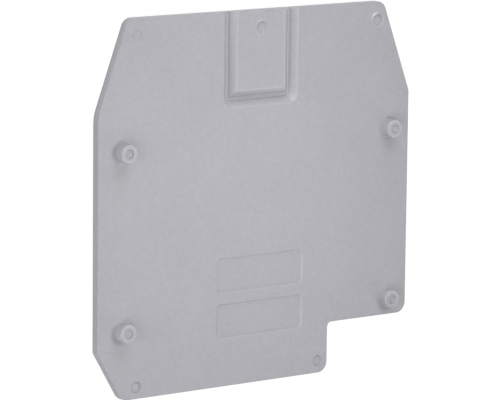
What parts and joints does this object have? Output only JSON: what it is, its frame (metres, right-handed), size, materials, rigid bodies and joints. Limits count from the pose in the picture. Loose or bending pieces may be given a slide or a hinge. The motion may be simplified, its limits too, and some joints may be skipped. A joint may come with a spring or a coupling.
{
  "type": "terminal block end cover",
  "caption": "Thin moulded end cover for rail-mounted terminals, with slanted upper sides, a stepped lower corner, round locating pegs and a grooved tab at its top edge.",
  "frame": {"origin": "centre of the outline's bounding box, on the flat outer face that the cover lies on", "axes": "+Z out of the inner face, the way the pegs point; +Y towards the narrow top edge; +X towards the side with the stepped lower corner"},
  "size_m": [0.062, 0.0612, 0.0033],
  "materials": {
    "grey_polyamide": "matte moulded, light grey"
  },
  "bodies": {
    "root": {"end_cover": "grey_polyamide"}
  },
  "joints": []
}
